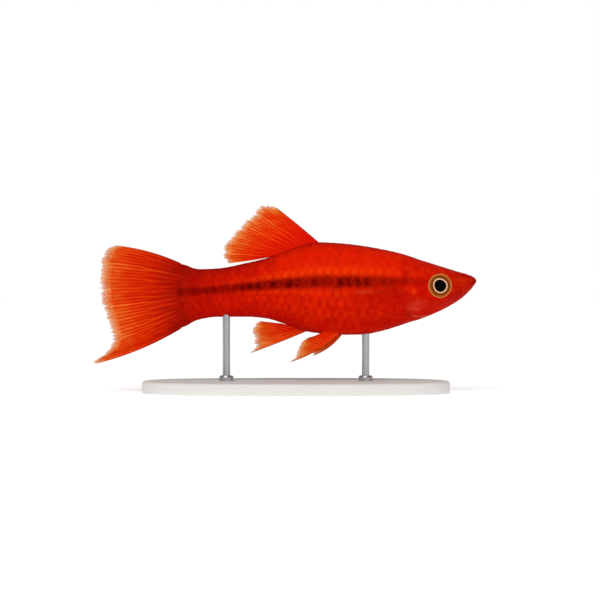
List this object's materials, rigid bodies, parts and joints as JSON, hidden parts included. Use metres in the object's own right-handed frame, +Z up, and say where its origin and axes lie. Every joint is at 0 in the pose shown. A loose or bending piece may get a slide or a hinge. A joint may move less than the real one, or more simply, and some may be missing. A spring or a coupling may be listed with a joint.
{
  "type": "swordtail fish display model",
  "caption": "Red swordtail fish with a short point on its fan-shaped tail, swimming level, as a still life-size model on a flat oval stand with short rods.",
  "frame": {"origin": "middle of the bounding box's underside, which is the surface the stand rests on", "axes": "+X from the tail to the snout, +Y to the fish's left, +Z up from the belly to the back"},
  "size_m": [0.08, 0.027, 0.0393],
  "materials": {
    "skin": "satin scaled skin, red",
    "fin": "thin rayed membrane, red at the root and orange to tan at the edge",
    "clear_fin": "nearly clear rayed membrane",
    "eye": "polished, black pupil in a gold and brown ring",
    "stand_base": "matt off-white",
    "stand_rod": "brushed"
  },
  "bodies": {
    "root": {"head": "skin", "trunk": "skin", "tail_stem": "skin", "gill_cover_left": "skin", "gill_cover_right": "skin", "eye_left": "eye", "eye_right": "eye", "caudal_fin": "fin", "dorsal_fin": "fin", "anal_fin": "fin", "pelvic_fin_left": "fin", "pelvic_fin_right": "fin", "pectoral_fin_left": "clear_fin", "pectoral_fin_right": "clear_fin", "stand_base": "stand_base", "stand_rod_front": "stand_rod", "stand_rod_rear": "stand_rod"}
  },
  "joints": []
}
